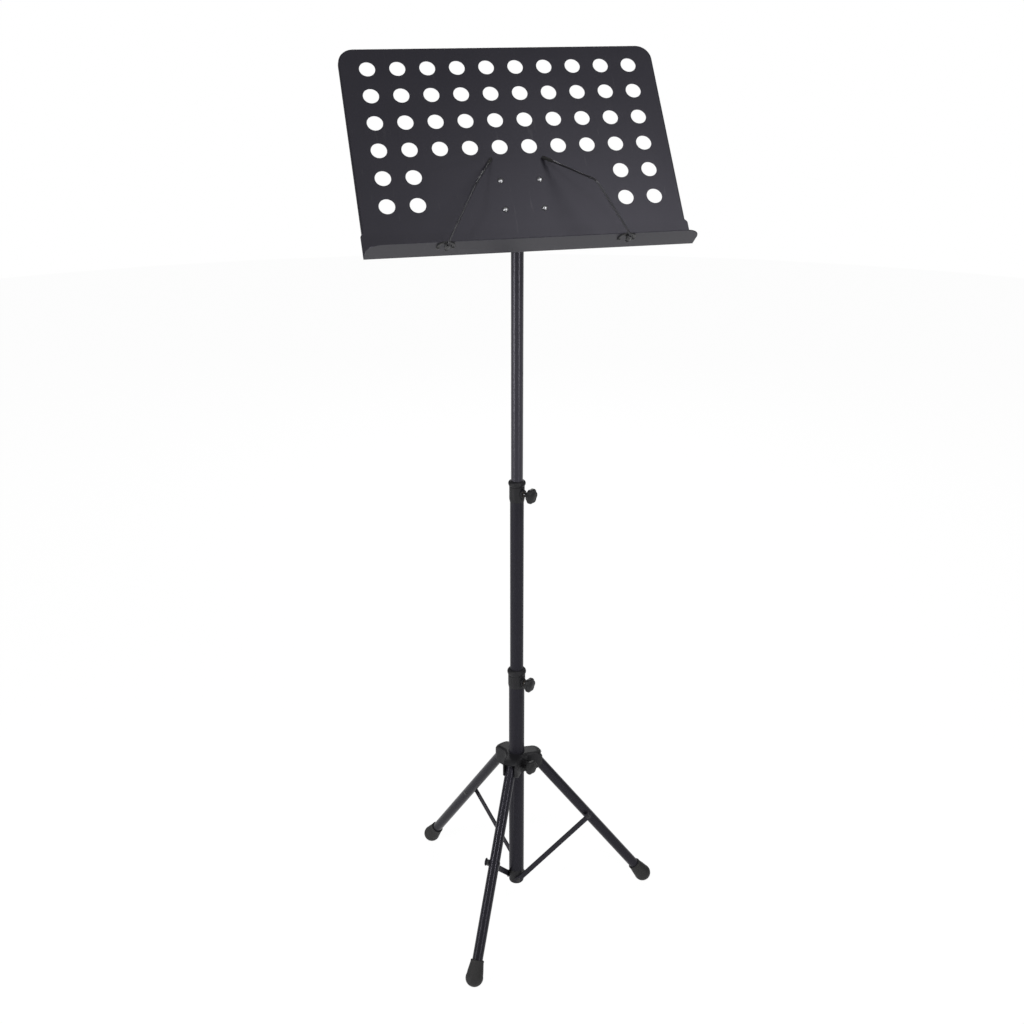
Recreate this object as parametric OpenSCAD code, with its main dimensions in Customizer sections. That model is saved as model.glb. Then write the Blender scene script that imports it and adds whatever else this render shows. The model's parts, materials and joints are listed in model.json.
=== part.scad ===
// Height-adjustable music stand: perforated sheet-steel desk on a three-section
// telescopic column, carried by a folding tripod with spreader braces.
// Millimetres. +Z up, the desk faces -Y, the column axis is x = y = 0, the floor is z = 0.

/* [Desk sheet] */
// Width of the desk sheet
desk_w = 476; // [460:1:490]
// Height from the ledge fold to the top edge
desk_h = 333; // [324:1:345]
// Thickness of the sheet steel
sheet_t = 1.2; // [1:0.1:1.6]
// Radius of the two top corners
corner_r = 23; // [16:1:26]
// Depth of the rim folded back round the sheet
rim_d = 9; // [6:0.5:12]
// How far the foot of the sheet and the ledge stand out at each side
foot_over = 3; // [2:0.5:4]
// Height of the wider foot of the sheet above the fold
foot_h = 39; // [30:1:44]
// Depth of the ledge in front of the sheet
ledge_d = 43; // [40:1:46]
// Radius of the two front corners of the ledge
ledge_corner_r = 22; // [12:1:24]
// Inside radius of the fold between the sheet and the ledge
fold_r = 2; // [1.5:0.25:3]
// Diameter of the round holes in the sheet
hole_d = 23.2; // [18:0.1:28]
// Distance between the centres of neighbouring holes
hole_pitch = 44; // [43:0.5:45]
// Lean of the desk back from upright
desk_tilt = 37.5; // [20:0.5:50]
// Spacing of the four desk rivets across the desk
rivet_dx = 58.2; // [50:0.1:62]
// Spacing of the four desk rivets up the desk
rivet_dz = 45.8; // [40:0.1:46]

/* [Tilt mechanism] */
// Height of the tilt pivot above the floor
tilt_z = 1222.8; // [1215:0.1:1240]
// Distance from the tilt pivot forward to the face of the desk sheet
tilt_back = 37.7; // [35:0.1:42]
// Diameter of the tilt bolt
tilt_bolt_d = 6; // [5:0.5:8]
// Width of the plastic lug between the bracket ears
lug_w = 21; // [18:0.5:24]
// Thickness of the tilt bracket steel
bracket_t = 2; // [1.5:0.25:2.5]
// Outside diameter of the desk holder socket
holder_d = 27; // [25:0.5:30]
// Diameter of the tilt knob
tilt_knob_d = 30; // [26:1:34]

/* [Page arms] */
// Diameter of the wire of the page arms
wire_d = 3; // [2.4:0.1:3.4]
// Distance of each arm pivot from the middle of the desk
arm_x = 130.7; // [120:0.1:140]
// Drop of the arm pivots below the fold
arm_drop = 6.8; // [6.2:0.1:8]
// Outside diameter of the rubber sleeve on the tip
tip_d = 4.6; // [4.4:0.1:6]
// Length of the rubber sleeve on the tip
tip_len = 24; // [16:1:30]

/* [Column] */
// Outside diameter of the upper tube
upper_d = 19; // [18:0.5:19]
// Outside diameter of the middle tube
middle_d = 22; // [21.5:0.5:22]
// Outside diameter of the lower tube
lower_d = 26; // [25.5:0.5:26]
// Wall of all three column tubes
wall_t = 1; // [0.8:0.1:1.1]
// Height of the top of the lower tube
lower_top = 460; // [458:1:462]
// Height of the top of the middle tube
middle_top = 793; // [792:0.5:794]
// Length of middle tube held inside the lower tube
middle_in = 83; // [70:1:90]
// Length of upper tube held inside the middle tube
upper_in = 73; // [60:1:80]
// Compass angle of the two height clamp screws, from +X
clamp_az = -52; // [-60:1:-20]
// Diameter of the clamp screws
screw_d = 6; // [5:0.5:6]
// Diameter of the lobed clamp knobs
knob_d = 25; // [20:1:26]
// Thickness of the lobed clamp knobs
knob_t = 10; // [9:0.5:11]

/* [Tripod] */
// Compass angle of the front leg, from +X
front_az = -121.7; // [-130:0.1:-110]
// Angle of each opened leg from upright
leg_open = 36.6; // [34:0.1:38]
// Distance from the column axis to each leg pivot
leg_pivot_r = 30.8; // [30:0.1:31.5]
// Height of the leg pivots above the floor
leg_pivot_z = 290; // [288:0.5:292]
// Outside diameter of the leg tubes
leg_d = 17.5; // [16:0.5:18]
// Wall of the leg tubes
leg_wall = 1; // [0.8:0.1:1.2]
// Height of the top face of the tripod head
head_top = 304; // [304:0.5:306]
// Width of each lobe of the tripod head
lobe_w = 27; // [25:0.5:28]
// Reach of each lobe from the column axis
lobe_reach = 47; // [46:0.5:48]
// Compass angle of the head clamp screw, from +X
head_knob_az = -61.7; // [-66:0.1:-57]
// Radius of the round part of the rubber feet
foot_r = 14.6; // [14:0.1:15]
// Height of the middle of the round part of the feet
foot_z = 13.2; // [12.6:0.1:13.2]

/* [Spreader braces] */
// Distance from a leg pivot to its brace rivet, along the leg
brace_at = 160.7; // [158:0.1:164]
// Width of the brace strap
brace_w = 9.8; // [8:0.1:10.4]
// Thickness of the brace strap
brace_t = 2; // [1.5:0.1:2.5]
// Height of the lower brace pins above the floor
brace_z = 47.5; // [46:0.5:50]
// Height of the bottom of the column casting
casting_bottom = 36; // [34:0.5:38]

/* [Hidden] */
$fn = 64;
fit = 0.05;                          // radial clearance of a running fit
part_gap = 0.3;                      // gap between faces of parts that pass each other
bore_slack = 0.3;                    // radial clearance of a screw through a tube wall

// Desk frame: origin on the tilt bolt, X across, +Z up the sheet, -Y out of its face
sheet_y = -tilt_back;                // front face of the sheet
sheet_back = sheet_y + sheet_t;
fold_z = -89.6;                      // top face of the ledge
sheet_top = fold_z + desk_h;
ledge_front = sheet_y - ledge_d;
ledge_under = fold_z - sheet_t;
hole_cols = 10;
full_rows = 4;
side_rows = 2;
hole_top_z = sheet_top - 34.2;       // centre line of the top row
rivet_shank_r = 2.5;
rivet_head_r = 4.3;
rivet_head_h = 2.4;

ear_in = lug_w / 2 + 1.9;            // inner face of each bracket ear
ear_r = 12;
ear_out = ear_in + bracket_t;
bracket_y = sheet_back + bracket_t;
lug_r = 12.5;
washer_t = 1.2;

arm_z = fold_z - arm_drop;
arm_front = ledge_front - 6.2;       // where the wire turns up in front of the ledge
arm_tail = ledge_front + 12;
arm_bend = [arm_x - 44.3, ledge_front - 31.8, arm_z + 73];
arm_tip = [arm_x - 91.7, sheet_y - 3.3, arm_z + 152.7];
clip_r = 10.5;                       // middle line of the clip's bow
clip_w = 4.2;
clip_t = 2.2;
clip_y = ledge_front + 10;
clip_leg = 7;
clip_rivet_r = 1.6;

upper_top = tilt_z - 19.8;
upper_bottom = middle_top - upper_in;
middle_bottom = lower_top - middle_in;
bush_t = 6;
bush_plug = 14;
casting_top = 64;
spigot_h = 20;
lower_clamp_z = lower_top - 19.5;
upper_clamp_z = middle_top - 15.5;
head_clamp_z = head_top - 17;
holder_clamp_z = tilt_z - 42;
holder_bottom = tilt_z - 58;
holder_az = 90;
holder_boss = 19;
holder_knob_at = 19.6;
holder_insert_at = 12.5;
collar_in = 30;                      // length of tube inside the sleeve of each collar
upper_collar_top = middle_top + 5;
lower_collar_top = lower_top + 4;
upper_boss = 14.4;                   // reach of each screw boss from the column axis
lower_boss = 16.2;
collar_boss_r = 6.6;
upper_knob_at = 22;                  // back of each clamp knob from the column axis
lower_knob_at = 20.5;
upper_knob_neck = 5.6;               // length of the neck behind each clamp knob
lower_knob_neck = 2.4;
neck_r = 4;
insert_r = 4.6;
insert_start = 0.9;                  // from a tube's outside to the inner end of its collar's insert
insert_in = 0.4;                     // how far an insert sits below the face of its boss

SIDES = ["left", "right"];
LEGS = ["front", "right", "rear"];
function leg_az(i) = front_az + 120 * i;
hub_r = 20;
hub_bottom = 271;
tip_bottom = 280;                    // lower edge of each lobe at its tip
crown_r = 21;                        // radius of the rounded top of each lobe
crown_at = 28.5;                     // middle of that radius, out from the column axis
lobe_r = lobe_w / 2;
slot_w = leg_d + 1;
slot_r = leg_pivot_r - leg_d / 2 - 0.65;
slot_top = leg_pivot_z + leg_d / 2 + 0.45;
exit_top = slot_top - 1.2;           // top of the opening that each leg comes out of
head_boss = 28.7;                    // reach of the head's screw boss from the column axis
head_insert_at = 19.5;
head_knob_at = 29.5;
leg_pin_r = 3;
knuckle_len = 4;
knuckle_plug = 20;
leg_len = (leg_pivot_z - foot_z) / cos(leg_open);
foot_neck = 28.5;                    // from the foot's middle up to its rim
tube_end = leg_len + 2;

brace_side = lower_d / 2 + 0.5;      // inner face of each strap, sideways from its leg
brace_pin_r = 3;
lower_pin_r = 2.5;
eye_r = 6.5;
brace_eye = [
    leg_pivot_r + brace_at * sin(leg_open),
    leg_pivot_z - brace_at * cos(leg_open)
];
brace_slope = atan2(brace_eye[1] - brace_z, brace_eye[0]);
brace_len = norm([brace_eye[0], brace_eye[1] - brace_z]);

function per_leg(what) = [for (n = LEGS) str(n, "_", what)];

// ---- shared shapes ----

// Children in the desk frame
module on_desk() translate([0, 0, tilt_z]) rotate([-desk_tilt, 0, 0]) children();

// A flat (x, z) shape given thickness t from y0 backwards
module upright(y0, t) translate([0, y0 + t, 0]) rotate([90, 0, 0]) linear_extrude(t) children();

// A flat (y, z) shape run across the desk over the width w
module across(w) translate([-w / 2, 0, 0]) rotate([90, 0, 90]) linear_extrude(w) children();

// Children turned so that their +Z points outwards at compass angle az, at height z
module outwards(az, z) translate([0, 0, z]) rotate([0, 0, az]) rotate([0, 90, 0]) children();

// Tube of outside diameter d from z0 to z1
module pipe(d, wall, z0, z1) {
    translate([0, 0, z0]) difference() {
        cylinder(d = d, h = z1 - z0);
        translate([0, 0, -1]) cylinder(d = d - 2 * wall, h = z1 - z0 + 2);
    }
}

// Straight round rod from p to q
module rod(p, q, r) {
    v = q - p;
    translate(p) rotate([0, acos(v[2] / norm(v)), atan2(v[1], v[0])]) cylinder(r = r, h = norm(v));
}

// Flat-bottomed dome of base radius r and height h
module dome(r, h) {
    ball = (r * r + h * h) / (2 * h);
    intersection() {
        translate([0, 0, h - ball]) sphere(r = ball);
        cylinder(r = r, h = h);
    }
}

// Disc with a fully rounded rim, from z = 0 to h
module round_disc(r, h, edge) {
    cylinder(r = r - edge, h = h);
    translate([0, 0, edge]) cylinder(r = r, h = h - 2 * edge);
    for (z = [edge, h - edge]) {
        translate([0, 0, z]) rotate_extrude() translate([r - edge, 0]) circle(r = edge, $fn = 32);
    }
}

// Six-lobed grip of diameter d and thickness t: neck and cone behind, low dome in front, blind bore
module lobed_knob(d, t, bore_r, neck = 0) {
    lobe = d * 0.17;
    ring = d / 2 - lobe;
    back = t * 0.35;
    lobe_t = t - back + 0.5;
    edge = 1;
    difference() {
        union() {
            cylinder(r1 = bore_r + 2.4, r2 = ring + lobe * 0.35, h = back);
            translate([0, 0, back]) cylinder(r = ring + lobe * 0.35, h = t - back);
            for (a = [0:60:300]) rotate([0, 0, a]) translate([ring, 0, t - lobe_t]) {
                cylinder(r1 = lobe - edge, r2 = lobe, h = edge);
                translate([0, 0, edge]) cylinder(r = lobe, h = lobe_t - 2 * edge);
                translate([0, 0, lobe_t - edge]) cylinder(r1 = lobe, r2 = lobe - edge, h = edge);
            }
            translate([0, 0, t]) dome(ring, 1.6);
            if (neck > 0) translate([0, 0, -neck]) cylinder(r = neck_r, h = neck + 1);
        }
        translate([0, 0, -neck - 1]) cylinder(r = bore_r + fit, h = neck + t - 1);
    }
}

// Clamp parts, all along +Z from the column axis
module clamp_insert(from, to) {
    difference() {
        translate([0, 0, from]) cylinder(r = insert_r, h = to - from);
        translate([0, 0, from - 1]) cylinder(r = screw_d / 2 + fit, h = to - from + 2);
    }
}

module clamp_screw(from, knob_at) {
    translate([0, 0, from]) cylinder(d = screw_d, h = knob_at + knob_t - 2 - from);
}

module clamp_knob(knob_at, neck = 0) {
    translate([0, 0, knob_at]) lobed_knob(knob_d, knob_t, screw_d / 2, neck);
}

// ---- desk ----

module sheet_outline(inset) {
    w = desk_w - 2 * inset;
    r = corner_r - inset;
    top = sheet_top - inset;
    translate([-w / 2, fold_z + fold_r]) square([w, top - r - fold_z - fold_r]);
    translate([-w / 2 + r, top - r]) square([w - 2 * r, r]);
    for (s = [-1, 1]) translate([s * (w / 2 - r), top - r]) circle(r = r);
}

module hole_grid() {
    for (row = [0:full_rows + side_rows - 1], col = [0:hole_cols - 1]) {
        side = min(col, hole_cols - 1 - col);
        if (row < full_rows || side < side_rows) {
            x = (col - (hole_cols - 1) / 2) * hole_pitch;
            translate([x, hole_top_z - row * hole_pitch]) circle(d = hole_d);
        }
    }
}

module rivet_spots() {
    for (x = [-1, 1] * rivet_dx / 2, z = [-1, 1] * rivet_dz / 2) translate([x, z]) children();
}

module desk_plate() {
    foot_w = desk_w + 2 * foot_over;
    color("#26252a") on_desk() difference() {
        union() {
            upright(sheet_y, sheet_t) sheet_outline(0);
            upright(sheet_y, rim_d) difference() {
                sheet_outline(0);
                sheet_outline(sheet_t);
                translate([-desk_w, fold_z - 1]) square([2 * desk_w, foot_h + 1]);
            }
            upright(sheet_y, sheet_t) foot_outline(foot_w / 2);
            across(foot_w) translate([sheet_y - fold_r, fold_z + fold_r]) intersection() {
                difference() {
                    circle(r = fold_r + sheet_t);
                    circle(r = fold_r);
                }
                translate([0, -10]) square(10);
            }
            translate([0, 0, ledge_under]) linear_extrude(sheet_t) ledge_outline(foot_w);
        }
        upright(sheet_y - 1, sheet_t + 2) hole_grid();
        upright(sheet_y - 1, sheet_t + 2) rivet_spots() circle(r = rivet_shank_r + fit);
        clip_rivet_spots() cylinder(r = clip_rivet_r + fit, h = 20, center = true);
    }
}

// Wider foot of the sheet, its two shoulders sloped
module foot_outline(half) {
    shoulder = fold_z + foot_h - 4;
    polygon([
        [-half, fold_z + fold_r], [half, fold_z + fold_r], [half, shoulder],
        [desk_w / 2, fold_z + foot_h], [-desk_w / 2, fold_z + foot_h], [-half, shoulder]
    ]);
}

module ledge_outline(w) {
    r = ledge_corner_r;
    depth = ledge_d - fold_r;
    translate([-w / 2, ledge_front + r]) square([w, depth - r]);
    translate([-w / 2 + r, ledge_front]) square([w - 2 * r, r]);
    for (s = [-1, 1]) translate([s * (w / 2 - r), ledge_front + r]) circle(r = r);
}

module desk_rivets() {
    color("#d8d8d8") on_desk() rotate([90, 0, 0]) rivet_spots() {
        translate([0, 0, -sheet_y]) dome(rivet_head_r, rivet_head_h);
        translate([0, 0, -bracket_y]) cylinder(r = rivet_shank_r, h = bracket_t + sheet_t);
        translate([0, 0, -bracket_y - 1.4]) cylinder(r = rivet_head_r, h = 1.4);
    }
}

// ---- tilt bracket and desk holder ----

module ear_outline() {
    circle(r = ear_r);
    translate([bracket_y - bracket_t, -ear_r]) square([-bracket_y + bracket_t, 2 * ear_r]);
}

module tilt_bracket() {
    r = 8;
    w = rivet_dx / 2 + 7 - r;
    h = rivet_dz / 2 + 8 - r;
    color("#202024") on_desk() {
        upright(sheet_back, bracket_t) difference() {
            union() {
                square([2 * w, 2 * (h + r)], center = true);
                square([2 * (w + r), 2 * h], center = true);
                for (x = [-w, w], z = [-h, h]) translate([x, z]) circle(r = r);
            }
            rivet_spots() circle(r = rivet_shank_r + fit);
        }
        for (s = [-1, 1]) translate([s * (ear_in + bracket_t / 2), 0, 0]) {
            across(bracket_t) difference() {
                ear_outline();
                circle(r = tilt_bolt_d / 2 + fit);
            }
        }
    }
}

module tilt_bolt() {
    reach = ear_out + washer_t + 9;
    color("#b8b8bc") translate([0, 0, tilt_z]) rotate([0, 90, 0]) {
        translate([0, 0, -ear_out - 0.1]) {
            cylinder(d = tilt_bolt_d, h = ear_out + reach);
            rotate([180, 0, 0]) dome(tilt_bolt_d, 3.4);
        }
    }
}

module tilt_washers() {
    starts = [-ear_in + 0.1, lug_w / 2, ear_out + 0.1];
    lengths = [ear_in - 0.1 - lug_w / 2, ear_in - 0.1 - lug_w / 2, washer_t];
    color("#8f8f94") translate([0, 0, tilt_z]) rotate([0, 90, 0]) {
        for (i = [0:2]) translate([0, 0, starts[i]]) difference() {
            cylinder(r = 7.5, h = lengths[i]);
            translate([0, 0, -1]) cylinder(r = tilt_bolt_d / 2 + fit, h = lengths[i] + 2);
        }
    }
}

module tilt_knob() {
    at = ear_out + washer_t + 0.3;
    color("#1b1b1d") translate([at, 0, tilt_z]) rotate([0, 90, 0]) {
        difference() {
            cylinder(r = 8, h = 4);
            translate([0, 0, -1]) cylinder(r = tilt_bolt_d / 2 + fit, h = 6);
        }
        translate([0, 0, 4]) lobed_knob(tilt_knob_d, 12, tilt_bolt_d / 2);
    }
}

module desk_holder() {
    color("#1c1c1f") difference() {
        union() {
            translate([0, 0, holder_bottom]) cylinder(d = holder_d, h = tilt_z - 14 - holder_bottom);
            translate([0, 0, holder_bottom]) cylinder(d = holder_d + 2, h = 5);
            translate([0, 0, tilt_z]) rotate([0, 90, 0])
                cylinder(r = lug_r, h = lug_w, center = true);
            intersection() {
                translate([-lug_w / 2, -lug_r, tilt_z - 18]) cube([lug_w, 2 * lug_r, 18]);
                translate([0, 0, tilt_z - 18]) cylinder(d = holder_d, h = 18);
            }
            outwards(holder_az, holder_clamp_z) cylinder(r = 7, h = holder_boss);
        }
        translate([0, 0, holder_bottom - 1])
            cylinder(r = upper_d / 2 + fit, h = upper_top - holder_bottom + 1);
        translate([0, 0, tilt_z]) rotate([0, 90, 0])
            cylinder(r = tilt_bolt_d / 2 + fit, h = lug_w + 2, center = true);
        outwards(holder_az, holder_clamp_z) cylinder(r = screw_d / 2 + bore_slack, h = 30);
        outwards(holder_az, holder_clamp_z) translate([0, 0, holder_insert_at])
            cylinder(r = insert_r, h = 10);
    }
}

module holder_insert() {
    color("#b59a55") outwards(holder_az, holder_clamp_z)
        clamp_insert(holder_insert_at, holder_boss - insert_in);
}

module holder_screw() {
    color("#b8b8bc") outwards(holder_az, holder_clamp_z)
        clamp_screw(upper_d / 2 + part_gap, holder_knob_at);
}

module holder_knob() color("#1b1b1d") outwards(holder_az, holder_clamp_z) clamp_knob(holder_knob_at);

// ---- page arms ----

module arm_side(side) if (side == "left") mirror([1, 0, 0]) children(); else children();

module clip_rivet_spots() {
    for (side = SIDES) arm_side(side) for (s = [-1, 1]) {
        translate([arm_x + s * clip_r, clip_y + clip_leg - 3, ledge_under]) children();
    }
}

module arm_clip(side) {
    color("#232326") on_desk() arm_side(side) difference() {
        union() {
            translate([arm_x, clip_y, ledge_under - clip_t]) linear_extrude(clip_t) {
                difference() {
                    circle(r = clip_r + clip_w / 2);
                    circle(r = clip_r - clip_w / 2);
                    translate([-30, 0]) square([60, 30]);
                }
                for (s = [-1, 1]) translate([s * clip_r - clip_w / 2, -0.01])
                    square([clip_w, clip_leg]);
            }
            translate([arm_x - 2.5, ledge_front - 2.8, arm_z]) cube([5, 9.5, ledge_under - arm_z]);
            translate([arm_x, ledge_front + 6.7, arm_z]) rotate([90, 0, 0]) cylinder(r = 3.8, h = 9.5);
        }
        translate([arm_x, arm_tail + 5, arm_z]) rotate([90, 0, 0])
            cylinder(r = wire_d / 2 + fit, h = 60);
        clip_rivet_spots() cylinder(r = clip_rivet_r + fit, h = 20, center = true);
    }
}

module clip_rivets() {
    color("#3a3a3e") on_desk() clip_rivet_spots() {
        translate([0, 0, -clip_t]) cylinder(r = clip_rivet_r, h = clip_t + sheet_t);
        translate([0, 0, -clip_t]) rotate([180, 0, 0]) dome(2.6, 1.3);
        translate([0, 0, sheet_t]) dome(2.6, 0.8);
    }
}

module arm_wire(side) {
    tail = [arm_x, arm_tail, arm_z];
    turn = [arm_x, arm_front, arm_z];
    route = [tail, turn, arm_bend, arm_tip];
    color("#4a4a50") on_desk() arm_side(side) {
        for (i = [0:2]) rod(route[i], route[i + 1], wire_d / 2);
        for (i = [1:2]) translate(route[i]) sphere(d = wire_d + 0.04);
        translate([arm_x, arm_tail + 1, arm_z]) rotate([90, 0, 0]) cylinder(r = 2.4, h = 1.5);
    }
}

module arm_tip(side) {
    v = (arm_bend - arm_tip) / norm(arm_bend - arm_tip);
    start = arm_tip + v * (tip_len - tip_d / 2);
    color("#161617") on_desk() arm_side(side) difference() {
        union() {
            rod(arm_tip, start, tip_d / 2);
            translate(arm_tip) sphere(d = tip_d);
        }
        rod(arm_tip, start + v, wire_d / 2 + fit);
    }
}

// ---- column ----

module upper_tube() color("#202024") pipe(upper_d, wall_t, upper_bottom, upper_top);

// Guide bush plugged into the bottom of a tube and running inside the next one
module guide_bush(tube_d, outer_d, z) {
    color("#e6e6e0") translate([0, 0, z - bush_t]) difference() {
        union() {
            cylinder(r = outer_d / 2 - wall_t - fit, h = bush_t);
            cylinder(r = tube_d / 2 - wall_t - fit, h = bush_t + bush_plug);
        }
        translate([0, 0, -1]) cylinder(r = tube_d / 2 - wall_t - 2, h = bush_t + bush_plug + 2);
    }
}

module upper_tube_bush() guide_bush(upper_d, middle_d, upper_bottom);

module middle_tube_bush() guide_bush(middle_d, lower_d, middle_bottom);

// Tube with a clearance hole for the clamp screw of the collar on its top end
module clamped_tube(d, z0, z1, screw_z) {
    color("#202024") difference() {
        pipe(d, wall_t, z0, z1);
        outwards(clamp_az, screw_z) cylinder(r = screw_d / 2 + bore_slack, h = d);
    }
}

module middle_tube() clamped_tube(middle_d, middle_bottom, middle_top, upper_clamp_z);

module lower_tube() clamped_tube(lower_d, casting_top, lower_top, lower_clamp_z);

// Collar on the top end of a tube: sleeve, bead, screw boss and guide lip
module collar(tube_d, inner_d, sleeve_d, bead_d, bead_h, top, tube_top, screw_z, boss_end) {
    bottom = tube_top - collar_in;
    color("#1b1b1d") difference() {
        union() {
            translate([0, 0, bottom + 4]) cylinder(d = sleeve_d, h = top - bottom - 5);
            translate([0, 0, bottom]) cylinder(d1 = tube_d + 0.6, d2 = sleeve_d, h = 4);
            translate([0, 0, top - bead_h]) round_disc(bead_d / 2, bead_h, bead_h / 2 - 0.4);
            outwards(clamp_az, screw_z) cylinder(r = collar_boss_r, h = boss_end);
        }
        translate([0, 0, bottom - 1]) cylinder(r = tube_d / 2 + fit, h = top - 2.5 - bottom + 1);
        cylinder(r = inner_d / 2 + 2 * fit, h = top + 10);
        outwards(clamp_az, screw_z) cylinder(r = screw_d / 2 + bore_slack, h = 30);
        outwards(clamp_az, screw_z) translate([0, 0, tube_d / 2 + insert_start])
            cylinder(r = insert_r, h = 20);
    }
}

module upper_collar() {
    collar(middle_d, upper_d, 24.6, 27.8, 9.3, upper_collar_top, middle_top, upper_clamp_z,
        upper_boss);
}

module lower_collar() {
    collar(lower_d, middle_d, 28.6, 31.4, 11.4, lower_collar_top, lower_top, lower_clamp_z,
        lower_boss);
}

module upper_clamp_insert() {
    color("#b59a55") outwards(clamp_az, upper_clamp_z)
        clamp_insert(middle_d / 2 + insert_start, upper_boss - insert_in);
}

module lower_clamp_insert() {
    color("#b59a55") outwards(clamp_az, lower_clamp_z)
        clamp_insert(lower_d / 2 + insert_start, lower_boss - insert_in);
}

module upper_clamp_screw() {
    color("#b8b8bc") outwards(clamp_az, upper_clamp_z)
        clamp_screw(upper_d / 2 + part_gap, upper_knob_at);
}

module lower_clamp_screw() {
    color("#b8b8bc") outwards(clamp_az, lower_clamp_z)
        clamp_screw(middle_d / 2 + part_gap, lower_knob_at);
}

module upper_clamp_knob() {
    color("#1b1b1d") outwards(clamp_az, upper_clamp_z)
        clamp_knob(upper_knob_at, upper_knob_neck);
}

module lower_clamp_knob() {
    color("#1b1b1d") outwards(clamp_az, lower_clamp_z)
        clamp_knob(lower_knob_at, lower_knob_neck);
}

// Each brace pin stands out of the casting a quarter turn clockwise from its leg
module lower_pin_spots() for (i = [0:2]) outwards(leg_az(i) - 90, brace_z) children();

module bottom_casting() {
    r = lower_d / 2;
    edge = 5;
    color("#1b1b1d") difference() {
        union() {
            translate([0, 0, casting_bottom + edge])
                cylinder(r = r, h = casting_top - casting_bottom - edge);
            translate([0, 0, casting_bottom + edge]) rotate_extrude()
                translate([r - edge, 0]) circle(r = edge, $fn = 48);
            translate([0, 0, casting_bottom]) cylinder(r = r - edge, h = edge);
            translate([0, 0, casting_top]) cylinder(r = r - wall_t - fit, h = spigot_h);
        }
        translate([0, 0, casting_bottom + 4]) cylinder(r = 7.5, h = 100);
        lower_pin_spots() cylinder(r = lower_pin_r, h = 30);
    }
}

module brace_lower_pins() {
    color("#8f8f94") lower_pin_spots() {
        translate([0, 0, 8.5]) cylinder(r = lower_pin_r, h = brace_side + brace_t + 0.2 - 8.5);
        translate([0, 0, brace_side + brace_t + 0.2]) dome(4, 1.2);
    }
}

// ---- tripod head ----

// Plan of the head: a round hub with one round-nosed lobe over each leg
module head_plan() {
    circle(r = hub_r);
    for (i = [0:2]) rotate(leg_az(i)) {
        translate([0, -lobe_r]) square([lobe_reach - lobe_r, lobe_w]);
        translate([lobe_reach - lobe_r, 0]) circle(r = lobe_r);
    }
}

// Space round one lobe: above its rounded top and below its sloping tip
module lobe_trim() {
    far = lobe_reach + 10;
    translate([0, lobe_w, 0]) rotate([90, 0, 0]) linear_extrude(2 * lobe_w) {
        difference() {
            translate([crown_at, head_top - crown_r]) square([far - crown_at, crown_r + 10]);
            translate([crown_at, head_top + part_gap - crown_r]) circle(r = crown_r);
        }
        polygon([
            [leg_pivot_r + 3, hub_bottom - 1], [lobe_reach, tip_bottom],
            [far, tip_bottom], [far, hub_bottom - 1]
        ]);
    }
}

module tripod_head() {
    color("#1c1c1f") difference() {
        union() {
            translate([0, 0, hub_bottom]) linear_extrude(head_top - hub_bottom) head_plan();
            outwards(head_knob_az, head_clamp_z) cylinder(r = 7.5, h = head_boss);
        }
        cylinder(r = lower_d / 2 + 2 * fit, h = 400);
        for (i = [0:2]) rotate([0, 0, leg_az(i)]) {
            lobe_trim();
            leg_slot();
            translate([leg_pivot_r, 0, leg_pivot_z]) rotate([90, 0, 0])
                cylinder(r = leg_pin_r, h = 2 * lobe_w, center = true);
        }
        outwards(head_knob_az, head_clamp_z) cylinder(r = screw_d / 2 + bore_slack, h = 50);
        outwards(head_knob_az, head_clamp_z) translate([0, 0, head_insert_at])
            cylinder(r = insert_r, h = 20);
    }
}

// Space swept by one leg between folded and open, inside the walls of its lobe
module leg_slot() {
    nose = lobe_reach - lobe_r;
    below = 200;
    translate([0, 0, below]) linear_extrude(slot_top - below) {
        translate([slot_r, -slot_w / 2]) square([nose - slot_r, slot_w]);
        translate([nose, 0]) circle(d = slot_w);
    }
    translate([nose, -slot_w / 2, below]) cube([lobe_r + 10, slot_w, exit_top - below]);
}

module leg_pins() {
    color("#8f8f94") for (i = [0:2]) rotate([0, 0, leg_az(i)]) {
        translate([leg_pivot_r, 0, leg_pivot_z]) rotate([90, 0, 0])
            cylinder(r = leg_pin_r, h = lobe_w - 0.6, center = true);
    }
}

module head_insert() {
    color("#b59a55") outwards(head_knob_az, head_clamp_z)
        clamp_insert(head_insert_at, head_boss - insert_in);
}

module head_screw() {
    color("#b8b8bc") outwards(head_knob_az, head_clamp_z)
        clamp_screw(lower_d / 2 + part_gap, head_knob_at);
}

module head_knob() color("#1b1b1d") outwards(head_knob_az, head_clamp_z) clamp_knob(head_knob_at);

// ---- legs ----

// Children on leg i: origin on its pivot, +Z down along the leg, Y along the pin
module on_leg(i) {
    rotate([0, 0, leg_az(i)]) translate([leg_pivot_r, 0, leg_pivot_z])
        rotate([0, 180 - leg_open, 0]) children();
}

module cross_bore(s, r) translate([0, 0, s]) rotate([90, 0, 0]) cylinder(r = r, h = 60, center = true);

module leg_knuckle(i) {
    color("#1c1c1f") on_leg(i) difference() {
        union() {
            sphere(d = leg_d);
            cylinder(d = leg_d, h = knuckle_len);
            cylinder(r = leg_d / 2 - leg_wall - fit, h = knuckle_len + knuckle_plug);
        }
        cross_bore(0, leg_pin_r + fit);
        translate([0, 0, knuckle_len + 6]) cylinder(r = 4.5, h = knuckle_plug);
    }
}

module leg_tube(i) {
    color("#202024") on_leg(i) difference() {
        pipe(leg_d, leg_wall, knuckle_len, tube_end);
        cross_bore(brace_at, brace_pin_r + fit);
    }
}

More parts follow.
